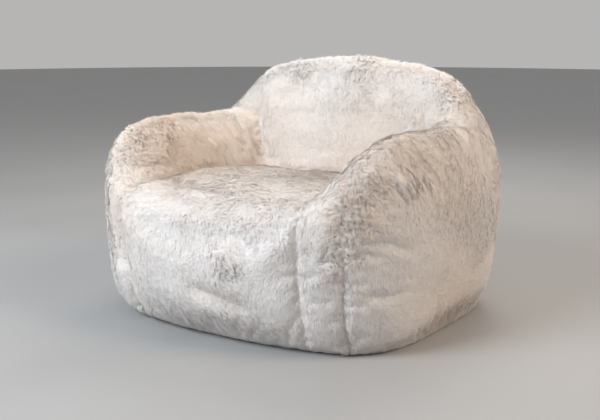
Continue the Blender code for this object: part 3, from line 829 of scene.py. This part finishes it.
def tousle(points, flat_seam, ruffled_seam):
    """How tousled the pile is at each point, and how far it parts to show its roots."""
    tousled = 0.7 * np.exp(-(ruffled_seam / 0.026) ** 2) * (0.70 + 0.60 * noise(points, 0.06, 25))
    tousled = np.maximum(tousled, 0.30 * np.exp(-(flat_seam / 0.012) ** 2))
    parted = 0.30 * np.exp(-(ruffled_seam / 0.016) ** 2) * (0.5 + 0.7 * noise(points, 0.04, 26))
    parted = np.maximum(parted, 0.15 * np.exp(-(flat_seam / 0.007) ** 2))
    for name, share, radius, rough, roots in TOUSLED:
        away = np.linalg.norm(points - spot(name, share), axis=1)
        ragged = away * (1.0 + 0.35 * noise(points, 0.03, 21))
        near = np.exp(-(ragged / radius) ** 4)
        tousled = np.maximum(tousled, rough * near)
        parted = np.maximum(parted, roots * near * (0.55 + 0.45 * noise(points, 0.018, 22)))
    scattered = smooth_step(noise(points, 0.09, 23) + 0.5 * noise(points, 0.03, 24), 0.55, 1.1)
    tousled = np.clip(np.maximum(tousled, 0.45 * scattered), 0.0, 1.0)
    parted = np.clip(np.maximum(parted, 0.20 * scattered), 0.0, 1.0)
    kept = 1.0 - smoothed(points)
    return tousled * kept, parted * kept


def smoothed(points):
    """How flat a hand has smoothed the pile at each point."""
    total = np.zeros(len(points))
    for name, share, radius in SMOOTHED:
        away = np.linalg.norm(points - spot(name, share), axis=1)
        ragged = away * (1.0 + 0.25 * noise(points, 0.05, 27))
        total = np.maximum(total, np.exp(-(ragged / radius) ** 4))
    return total


def warmth(points):
    """How much painted warm shade, partly the fur's own beige tint, darkens and warms the pile at each
    point.
    """
    total = np.zeros(len(points))
    for name, share, radius, much in WARM_TINT_AND_PAINTED_SHADE:
        away = np.linalg.norm(points - spot(name, share), axis=1)
        total = np.maximum(total, much * np.exp(-(away / radius) ** 2))
    return np.clip(total * (1.0 + 0.2 * noise(points, 0.05, 28)), 0.0, 1.0)


def pile_flow(points, normals, panel):
    """The direction in which the pile lies at each point, along the surface."""
    outward = unit(points * np.array([1.0, 1.0, 0.0]))
    flow = np.array([0.0, 0.0, -1.0]) + 0.25 * outward
    run_off = np.tile(np.array([0.0, -1.0, 0.0]), (len(points), 1))
    if "arm" in panel:
        outer = np.where(points[:, :1] < 0, -1.0, 1.0)
        run_off = outer * np.array([1.0, 0.0, 0.0]) + np.array([0.0, -0.5, 0.0])
    if "back_top" in panel or "rear" in panel:
        run_off = np.tile(np.array([0.0, 1.0, 0.0]), (len(points), 1))
    top = smooth_step(normals[:, 2], 0.45, 0.9)[:, None]
    flow = flow * (1.0 - top) + run_off * top
    broad = np.stack([noise(points, 0.13, 11), noise(points, 0.13, 12), noise(points, 0.13, 13)], 1)
    small = np.stack([noise(points, 0.045, 14), noise(points, 0.045, 15), noise(points, 0.045, 16)], 1)
    flow = flow + 0.75 * broad + 0.28 * small
    for name, start, end, radius, firm in STROKES:
        a, b = spot(name, start), spot(name, end)
        away, _ = to_segment(points, a, b)
        near = (firm * np.exp(-(away / radius) ** 2))[:, None]
        flow = flow * (1.0 - near) + unit(b - a) * near * 1.6
    for name, share, radius, firm in WHORLS:
        away = points - spot(name, share)
        near = (firm * np.exp(-(np.linalg.norm(away, axis=1) / radius) ** 2))[:, None]
        flow = flow * (1.0 - near) + unit(np.cross(normals, away)) * near * 1.6
    return along_surface(flow, normals)


def turned(vectors, axes, angles):
    """The vectors turned about the axes by the angles."""
    c, s = np.cos(angles)[:, None], np.sin(angles)[:, None]
    along = axes * (axes * vectors).sum(1, keepdims=True)
    return vectors * c + np.cross(axes, vectors) * s + along * (1.0 - c)


def in_space_order(points):
    """An order in which neighbours in the list are neighbours in space."""
    low = points.min(0)
    grid = np.clip(((points - low) / 0.004), 0, 1023).astype(np.int64)
    code = np.zeros(len(points), np.int64)
    for bit in range(10):
        for axis in range(3):
            code |= ((grid[:, axis] >> bit) & 1) << (3 * bit + axis)
    return np.argsort(code, kind="stable")


def locks_on(points, corners, normals, seams, settings, random):
    """Where the locks of a panel root, spread evenly by area."""
    a, b, c = (points[corners[:, k]] for k in range(3))
    area = np.linalg.norm(np.cross(b - a, c - a), axis=1) / 2
    count = int(area.sum() / settings.lock_spacing ** 2)
    at = (np.arange(count) + random.random(count)) / count * area.sum()
    pick = np.clip(np.searchsorted(np.cumsum(area), at), 0, len(area) - 1)
    first = np.sqrt(random.random(count))
    second = random.random(count)
    shares = np.stack([1.0 - first, first * (1.0 - second), first * second], 1)
    chosen = corners[pick]
    root = (points[chosen] * shares[:, :, None]).sum(1)
    normal = unit((normals[chosen] * shares[:, :, None]).sum(1))
    near = [(seam[chosen] * shares).sum(1) for seam in seams]
    order = in_space_order(root)
    return root[order], normal[order], np.stack(near, 1)[order]


def hairs_of(root, normal, seams, panel, settings, random):
    """Points, normals and marks of all the hairs of these locks, five points to a hair."""
    tousled, parted = tousle(root, seams[:, 0], seams[:, 1])
    seam = seams.min(1)
    count = len(root)
    each = settings.hairs_per_lock
    folded = np.clip(crease_depths(root) / 0.010, 0.0, 1.0)
    # Painted shade in the folds: the root colour darkens them as the shade in a crease would, partly the
    # roots showing where the pile parts along the fold.
    parted = np.maximum(parted, 0.75 * folded)
    flow = pile_flow(root, normal, panel)
    flow = turned(flow, normal, random.normal(0.0, 1.0, count) * (0.09 + 0.60 * tousled))
    lock_length = settings.length * (
        1.0 + 0.10 * noise(root, 0.05, 31) + (0.05 + 0.12 * tousled) * random.normal(0.0, 1.0, count))
    lock_length *= 1.0 - 0.40 * np.exp(-(seam / 0.006) ** 2) + 0.25 * tousled - 0.50 * folded
    lock_curl = random.normal(0.0, 1.0, count) * (0.08 + 0.75 * tousled)
    flat = smoothed(root)
    rise = np.radians(
        26.0 - 6.0 * flat + 27.0 * tousled + (3.0 + 7.0 * tousled) * random.normal(0.0, 1.0, count))
    lie = np.radians(3.0 + 14.0 * tousled + (2.0 + 8.0 * tousled) * random.normal(0.0, 1.0, count))

    owner = np.repeat(np.arange(count), each)
    total = len(owner)
    wild = tousled[owner]
    n, f = normal[owner], flow[owner]
    side = np.cross(n, f)
    spread = settings.lock_spacing * (0.75 - 0.20 * wild)
    across = random.normal(0.0, 1.0, (total, 2)) * spread[:, None]
    offset = f * across[:, :1] + side * across[:, 1:]
    base = root[owner] + offset - n * 0.0015
    hair_flow = turned(f, n, random.normal(0.0, 1.0, total) * (0.07 + 0.20 * wild))
    tip_flow = turned(hair_flow, n, lock_curl[owner] + random.normal(0.0, 0.08, total))
    long = np.clip(lock_length[owner] * (0.80 + 0.34 * random.random(total)), 0.006, 0.045)
    up = rise[owner] + random.normal(0.0, 0.07, total)
    over = lie[owner] + random.normal(0.0, 0.06, total)
    lower = n * np.sin(up)[:, None] + hair_flow * np.cos(up)[:, None]
    upper = n * np.sin(over)[:, None] + tip_flow * np.cos(over)[:, None]
    cling = (0.10 + 0.60 * wild)[:, None]
    middle = base + lower * (long * 0.46)[:, None] - offset * cling * 0.35
    tip = middle + upper * (long * 0.54)[:, None] - offset * cling * 0.65
    roll = random.normal(0.0, 1.0, total) * (0.25 + 0.35 * wild)
    level = unit(np.cross(upper, n))
    wide = level * np.cos(roll)[:, None] + n * np.sin(roll)[:, None]
    half = settings.hair_width * (0.7 + 0.6 * random.random(total))[:, None] / 2
    points = np.stack([base - wide * half, base + wide * half, middle - wide * half * 0.85,
                       middle + wide * half * 0.85, tip], 1)
    points[:, :, 2] = np.maximum(points[:, :, 2], 0.001)

    rounded = offset / settings.lock_spacing * (0.06 + 0.18 * wild)[:, None]
    own = unit(np.cross(wide, upper))
    own *= np.sign((own * n).sum(1, keepdims=True) + 1e-9)
    mine = (0.08 + 0.13 * wild)[:, None]
    low_normal = unit(n + rounded + mine * own)
    tip_normal = unit(n + rounded + mine * own + 0.25 * upper)
    shading = np.stack([low_normal, low_normal, low_normal, low_normal, tip_normal], 1)
    lock_shade = np.clip(0.5 + 0.18 * random.normal(0.0, 1.0, count), 0.0, 1.0)
    shade = np.clip(lock_shade[owner] + 0.14 * random.normal(0.0, 1.0, total), 0.0, 1.0)
    return points, shading, shade, parted[owner], warmth(root)[owner]


def fur_mesh(name, points, shading, shade, parted, warm, material):
    """One mesh of hairs, with the hairs that grow together sharing a cell of the map."""
    total = len(points)
    mesh = bpy.data.meshes.new(name)
    mesh.vertices.add(total * 5)
    mesh.vertices.foreach_set("co", points.astype(np.float32).ravel())
    first = np.arange(total)[:, None] * 5
    loops = (first + np.array([[0, 1, 3, 2, 2, 3, 4]])).ravel()
    mesh.loops.add(len(loops))
    mesh.loops.foreach_set("vertex_index", loops.astype(np.int32))
    mesh.polygons.add(total * 2)
    starts = (np.arange(total)[:, None] * 7 + np.array([[0, 4]])).ravel()
    mesh.polygons.foreach_set("loop_start", starts.astype(np.int32))
    mesh.update(calc_edges=True)
    for label, values in (
            ("along_hair", np.tile([0.0, 0.0, 0.5, 0.5, 1.0], total)),
            ("hair_shade", np.repeat(shade, 5)),
            ("parted", np.repeat(parted, 5)),
            ("warmth", np.repeat(warm, 5))):
        layer = mesh.attributes.new(label, "FLOAT", "POINT")
        layer.data.foreach_set("value", values.astype(np.float32))
    cells = 64
    cell = np.arange(total) * cells * cells // total
    column, row = (cell % cells)[:, None], (cell // cells)[:, None]
    u = (column + 0.12 + 0.76 * np.array([[0.0, 1.0, 1.0, 0.0, 0.0, 1.0, 0.5]])) / cells
    v = (row + 0.10 + 0.80 * np.array([[0.0, 0.0, 0.5, 0.5, 0.5, 0.5, 1.0]])) / cells
    chart = mesh.uv_layers.new(name="OFBake")
    chart.data.foreach_set("uv", np.stack([u, v], 2).astype(np.float32).ravel())
    mesh.shade_smooth()
    mesh.normals_split_custom_set_from_vertices(shading.reshape(-1, 3).tolist())
    mesh.materials.append(material)
    return mesh


def grow_pile(form, number, settings, material):
    """All the fur of one panel, in pieces of a size that stays easy to handle."""
    name = FUR_PANELS[number]
    points, corners, faces, normals = triangles_of(form)
    seams = seam_marks(form)
    index = np.empty(len(form.polygons), np.int32)
    form.polygons.foreach_get("material_index", index)
    mine = corners[index[faces] == number]
    if not len(mine):
        raise RuntimeError(f"the filled cover has no faces for {name}")
    random = np.random.default_rng(100 + number)
    root, normal, near = locks_on(points, mine, normals, seams, settings, random)
    at_once = 64000 // settings.hairs_per_lock
    parts = math.ceil(len(root) / at_once)
    edges = np.linspace(0, len(root), parts + 1).astype(int)
    grown = 0
    for k in range(parts):
        chosen = slice(edges[k], edges[k + 1])
        label = f"{name}_fur_{k + 1}"
        made = hairs_of(root[chosen], normal[chosen], near[chosen], name, settings, random)
        piece = new_object(label, fur_mesh(label, *made, material), smooth=False)
        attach(piece, "chair")
        grown += len(made[0])
    return grown


class BEANBAG_OT_cover(bpy.types.Operator):
    """Make the sewn cover: ten padded panels over the beads, and the fur that grows on them"""

    bl_idname = "beanbag.make_cover"
    bl_label = "Fur Cover"

    def execute(self, context):
        cover = context.scene.bean_bag_cover
        fur = context.scene.bean_bag_fur
        form = filled_cover(cover)
        backing = backing_material(cover)
        hair = fur_material(fur)
        grown = 0
        for number in range(len(FUR_PANELS)):
            backing_piece(form, number, cover, backing)
            grown += grow_pile(form, number, fur, hair)
        print("hairs grown:", grown)
        bpy.data.meshes.remove(form)
        return {"FINISHED"}


# ---------------------------------------------------------------- base, zips, liners, beads

def keep_node(name, material):
    """Shows a node of the frame as it is, in this material."""
    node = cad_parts[name]
    node.data.materials.clear()
    node.data.materials.append(material)
    return node


class BEANBAG_OT_base(bpy.types.Operator):
    """Finish the flat base of dark woven cloth"""

    bl_idname = "beanbag.make_base"
    bl_label = "Base Cloth"

    def execute(self, context):
        settings = context.scene.bean_bag_lining
        keep_node("base_panel", woven_material("base_cloth", settings.base_colour, 900.0, 0.2, 0.85))
        return {"FINISHED"}


def tooth_row(low, high, pitch):
    """Interlocking teeth that fill a long box, each a small block with a waist."""
    points, faces = [], []
    count = int((high[0] - low[0]) / pitch)
    middle = (low[1] + high[1]) / 2
    width = high[1] - low[1]
    for k in range(count):
        x = low[0] + (k + 0.5) * pitch
        side = -1.0 if k % 2 else 1.0
        inner, outer = middle - side * width * 0.22, middle + side * width * 0.5
        start = len(points)
        for z, shrink in ((low[2], 0.80), (low[2] * 0.5 + high[2] * 0.5, 1.0), (high[2], 0.72)):
            for y, reach in ((inner, 0.30), (middle + side * width * 0.05, 0.44), (outer, 0.34)):
                points += [(x - pitch * reach * shrink, y, z), (x + pitch * reach * shrink, y, z)]
        at = [[start + level * 6 + k2 for k2 in range(6)] for level in range(3)]
        for lower, upper in ((at[0], at[1]), (at[1], at[2])):
            ring = (0, 2, 4, 5, 3, 1)
            for a, b in zip(ring, ring[1:] + ring[:1]):
                faces.append((lower[a], lower[b], upper[b], upper[a]))
        for level, flip in ((at[0], False), (at[2], True)):
            for quad in ((level[0], level[1], level[3], level[2]), (level[2], level[3], level[5], level[4])):
                faces.append(quad[::-1] if flip else quad)
    return points, faces


def slider_mesh(name, low, high, axis):
    """A zip slider in that box: two shield plates, the post between them, and its pull."""
    size = [high[k] - low[k] for k in range(3)]
    centre = [(high[k] + low[k]) / 2 for k in range(3)]
    out = min(range(3), key=lambda k: size[k])
    across = 3 - out - axis
    bm = bmesh.new()

    def plate(z0, z1, scale):
        shield = [(-0.50, 0.28), (-0.30, 0.46), (0.05, 0.50), (0.34, 0.40), (0.50, 0.18)]
        outline = shield + [(x, -y) for x, y in reversed(shield)]
        rings = []
        for z, s in ((z0, 0.92), (z0 * 0.7 + z1 * 0.3, 1.0), (z0 * 0.3 + z1 * 0.7, 1.0), (z1, 0.92)):
            ring = []
            for x, y in outline:
                place = [0.0, 0.0, 0.0]
                place[axis] = centre[axis] + x * size[axis] * s * scale
                place[across] = centre[across] + y * size[across] * s * scale
                place[out] = low[out] + z * size[out]
                ring.append(bm.verts.new(place))
            rings.append(ring)
        for a, b in zip(rings, rings[1:]):
            for k in range(len(a)):
                n = (k + 1) % len(a)
                bm.faces.new((a[k], a[n], b[n], b[k]))
        bm.faces.new(rings[0][::-1])
        bm.faces.new(rings[-1])

    plate(0.0, 0.24, 1.0)
    plate(0.56, 0.80, 1.0)
    plate(0.20, 0.60, 0.20)
    plate(0.80, 0.90, 0.45)
    plate(0.88, 1.0, 0.62)
    bmesh.ops.recalc_face_normals(bm, faces=bm.faces)
    mesh = bpy.data.meshes.new(name)
    bm.to_mesh(mesh)
    bm.free()
    return mesh


def detailed_slider(node, body, axis, material):
    low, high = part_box(node)
    piece = new_object(node + "_body", slider_mesh(node + "_body", low, high, axis), smooth=False)
    soft = piece.modifiers.new("eased_edges", "BEVEL")
    soft.width = 0.0003
    soft.segments = 2
    piece.data.materials.append(material)
    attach(piece, body)
    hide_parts(node)
    return piece


class BEANBAG_OT_cover_zip(bpy.types.Operator):
    """Make the long zip in the base: its tapes, teeth, stops and slider"""

    bl_idname = "beanbag.make_cover_zip"
    bl_label = "Cover Zip"

    def execute(self, context):
        settings = context.scene.bean_bag_lining
        tape = woven_material("zip_tape", settings.tape_colour, 1600.0, 0.1, 0.8)
        metal = metal_material()
        keep_node("cover_zip_tape_front", tape)
        keep_node("cover_zip_tape_rear", tape)
        keep_node("cover_zip_stop_left", metal)
        keep_node("cover_zip_stop_right", metal)
        low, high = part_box("cover_zip_teeth")
        points, faces = tooth_row(low, high, settings.tooth_pitch)
        row = mesh_from("cover_zip_tooth_row", points, faces)
        teeth = new_object("cover_zip_tooth_row", row, smooth=False)
        eased = teeth.modifiers.new("eased_edges", "BEVEL")
        eased.width = 0.0002
        eased.segments = 1
        teeth.data.materials.append(nylon_material())
        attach(teeth, "chair")
        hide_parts("cover_zip_teeth")
        detailed_slider("cover_zip_slider", "cover_zip_slider_body", 0, metal)
        return {"FINISHED"}


def moved_in(mesh, inset, ripple, size):
    """Draws a surface in by the inset, with ripples of that depth and size in it."""
    points, _, _, normals = triangles_of(mesh)
    down = ripple * (1.0 - np.abs(noise(points, size, 44))) ** 2
    set_points(mesh, points - normals * (inset + down)[:, None])
    return mesh


def outside_box(points, node):
    """How far each point is from a node's box."""
    low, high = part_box(node)
    outside = np.maximum(np.maximum(np.array(low) - points, points - np.array(high)), 0.0)
    return np.linalg.norm(outside, axis=1)


def liner_bag(chamber, guide, settings):
    """One inner bag: it stands evenly out from its beads, with folds, and lies flat under its zip.

    The swelling reaches its limit nearly everywhere, so the limit sets how far out the bag stands.
    """
    bag = moved_in(guide.copy(), settings.liner_wrinkle - LINER_FOLD, 0.0, 0.05)
    points, _, _, normals = triangles_of(bag)
    by_zip = 1.0 - smooth_step(outside_box(points, chamber + "_liner_zip"), 0.004, 0.03)
    set_points(bag, points + normals * (settings.liner_wrinkle * by_zip)[:, None])
    points = fill_with_beads(bag, by_zip, LINER_PRESSURE, LINER_SLACK, settings.liner_wrinkle)
    set_points(bag, points)
    guide_piece = new_object(chamber + "_bag_guide", bag)
    finer = guide_piece.modifiers.new("finer", "SUBSURF")
    finer.levels = 1
    finer.render_levels = 1
    bag = evaluated(guide_piece)
    bpy.data.objects.remove(guide_piece)
    points, _, _, normals = triangles_of(bag)
    clear = smooth_step(outside_box(points, chamber + "_liner_zip"), 0.004, 0.04)
    fold = (1.0 - np.abs(noise(points + 0.02 * noise(points, 0.08, 41)[:, None], 0.05, 45))) ** 4
    set_points(bag, points - normals * (LINER_FOLD * fold * clear)[:, None])
    return bag


class BEANBAG_OT_liners(bpy.types.Operator):
    """Make the four inner bags of thin woven cloth and the foam beads in them"""

    bl_idname = "beanbag.make_liners"
    bl_label = "Liners and Beads"

    def execute(self, context):
        settings = context.scene.bean_bag_lining
        cloth = woven_material("liner_cloth", settings.liner_colour, 1200.0, 0.15, 0.75)
        beads = bead_material(settings)
        for chamber in CHAMBERS:
            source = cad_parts[chamber + "_fill"].data.copy()
            guide = remeshed(chamber + "_bag_guide", source, 0.014)
            bag = liner_bag(chamber, guide, settings)
            piece = new_object(chamber + "_liner_bag", bag)
            thin = piece.modifiers.new("cloth", "SOLIDIFY")
            thin.thickness = 0.0012
            thin.offset = -1.0
            bag.materials.clear()
            bag.materials.append(cloth)
            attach(piece, "chair")
            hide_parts(chamber + "_liner")
            heap = moved_in(guide, 0.006, 0.004, 0.03)
            fill = new_object(chamber + "_bead_fill", heap)
            heap.materials.clear()
            heap.materials.append(beads)
            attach(fill, "chair")
            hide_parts(chamber + "_fill")
        return {"FINISHED"}


class BEANBAG_OT_liner_zips(bpy.types.Operator):
    """Make the zips of the inner bags: their coils, tapes and sliders"""

    bl_idname = "beanbag.make_liner_zips"
    bl_label = "Liner Zips"

    def execute(self, context):
        settings = context.scene.bean_bag_lining
        tape = woven_material("liner_zip_tape", settings.tape_colour, 1800.0, 0.1, 0.8)
        metal = bpy.data.materials["nickel_plate"]
        for chamber in CHAMBERS:
            keep_node(chamber + "_liner_zip", tape)
            axis = 1 if "arm" in chamber else 0
            detailed_slider(chamber + "_liner_slider", chamber + "_liner_slider_body", axis, metal)
        return {"FINISHED"}


# ---------------------------------------------------------------- the studio

def area_light(name, place, towards, size, power, colour):
    light = bpy.data.lights.new(name, "AREA")
    light.shape = "DISK"
    light.size = size
    light.energy = power
    light.color = colour
    lamp = bpy.data.objects.new(name, light)
    bpy.context.scene.collection.objects.link(lamp)
    lamp.location = place
    lamp.rotation_euler = (Vector(towards) - Vector(place)).to_track_quat("-Z", "Y").to_euler()
    return lamp


class BEANBAG_OT_studio(bpy.types.Operator):
    """Make the pale floor, the soft lights and the camera"""

    bl_idname = "beanbag.make_studio"
    bl_label = "Studio"

    def execute(self, context):
        settings = context.scene.bean_bag_studio
        scene = context.scene
        bm = bmesh.new()
        bmesh.ops.create_circle(bm, cap_ends=True, segments=96, radius=14.0)
        mesh = bpy.data.meshes.new("studio_floor")
        bm.to_mesh(mesh)
        bm.free()
        floor = new_object("studio_floor", mesh, smooth=False)
        floor.data.materials.append(floor_material(settings))
        floor.location.z = -0.0005

        world = bpy.data.worlds.new("soft_room")
        world.use_nodes = True
        sky = world.node_tree.nodes["Background"]
        sky.inputs["Color"].default_value = (0.90, 0.89, 0.88, 1.0)
        sky.inputs["Strength"].default_value = settings.room_light
        scene.world = world

        area_light("cool_key", (-1.25, -3.4, 2.7), LIGHTS_AIM, 2.2, settings.key_power, (0.90, 0.95, 1.0))
        area_light("warm_fill", (3.0, 0.3, 3.0), LIGHTS_AIM, 1.8, settings.fill_power, (1.0, 0.77, 0.57))
        area_light("high_back", (-0.6, 2.6, 3.0), LIGHTS_AIM, 2.4, HIGH_BACK_POWER, (1.0, 0.96, 0.91))

        camera = bpy.data.objects.new("camera", bpy.data.cameras.new("camera"))
        scene.collection.objects.link(camera)
        camera.location = (CAMERA_ACROSS, CAMERA_ALONG, settings.camera_height)
        aim = Vector(CAMERA_AIM)
        camera.rotation_euler = (aim - camera.location).to_track_quat("-Z", "Y").to_euler()
        camera.data.sensor_width = CAMERA_SENSOR
        camera.data.lens = CAMERA_LENS
        camera.data.clip_end = 60.0
        scene.camera = camera
        scene.view_settings.view_transform = "Standard"
        return {"FINISHED"}


# ---------------------------------------------------------------- the panel and the run

OPERATORS = (
    BEANBAG_OT_cover,
    BEANBAG_OT_base,
    BEANBAG_OT_cover_zip,
    BEANBAG_OT_liners,
    BEANBAG_OT_liner_zips,
    BEANBAG_OT_studio,
)
SETTINGS = (
    ("bean_bag_cover", CoverSettings),
    ("bean_bag_fur", FurSettings),
    ("bean_bag_lining", LiningSettings),
    ("bean_bag_studio", StudioSettings),
)


class BEANBAG_PT_panel(bpy.types.Panel):
    """The sizes, the colours and the operators of the chair"""

    bl_idname = "BEANBAG_PT_panel"
    bl_label = "Bean Bag Armchair"
    bl_space_type = "VIEW_3D"
    bl_region_type = "UI"
    bl_category = "Bean Bag"

    def draw(self, context):
        layout = self.layout
        for operator in OPERATORS:
            layout.operator(operator.bl_idname, text=operator.bl_label)
        for label, group in SETTINGS:
            box = layout.box()
            box.label(text=label.replace("_", " ").capitalize())
            for key in group.__annotations__:
                box.prop(getattr(context.scene, label), key)


def register():
    for label, group in SETTINGS:
        bpy.utils.register_class(group)
        setattr(bpy.types.Scene, label, PointerProperty(type=group))
    for item in (*OPERATORS, BEANBAG_PT_panel):
        bpy.utils.register_class(item)


def unregister():
    for item in (BEANBAG_PT_panel, *reversed(OPERATORS)):
        bpy.utils.unregister_class(item)
    for label, group in reversed(SETTINGS):
        delattr(bpy.types.Scene, label)
        bpy.utils.unregister_class(group)


def main():
    register()
    for operator in OPERATORS:
        group, name = operator.bl_idname.split(".")
        getattr(getattr(bpy.ops, group), name)()


if __name__ == "__main__":
    main()
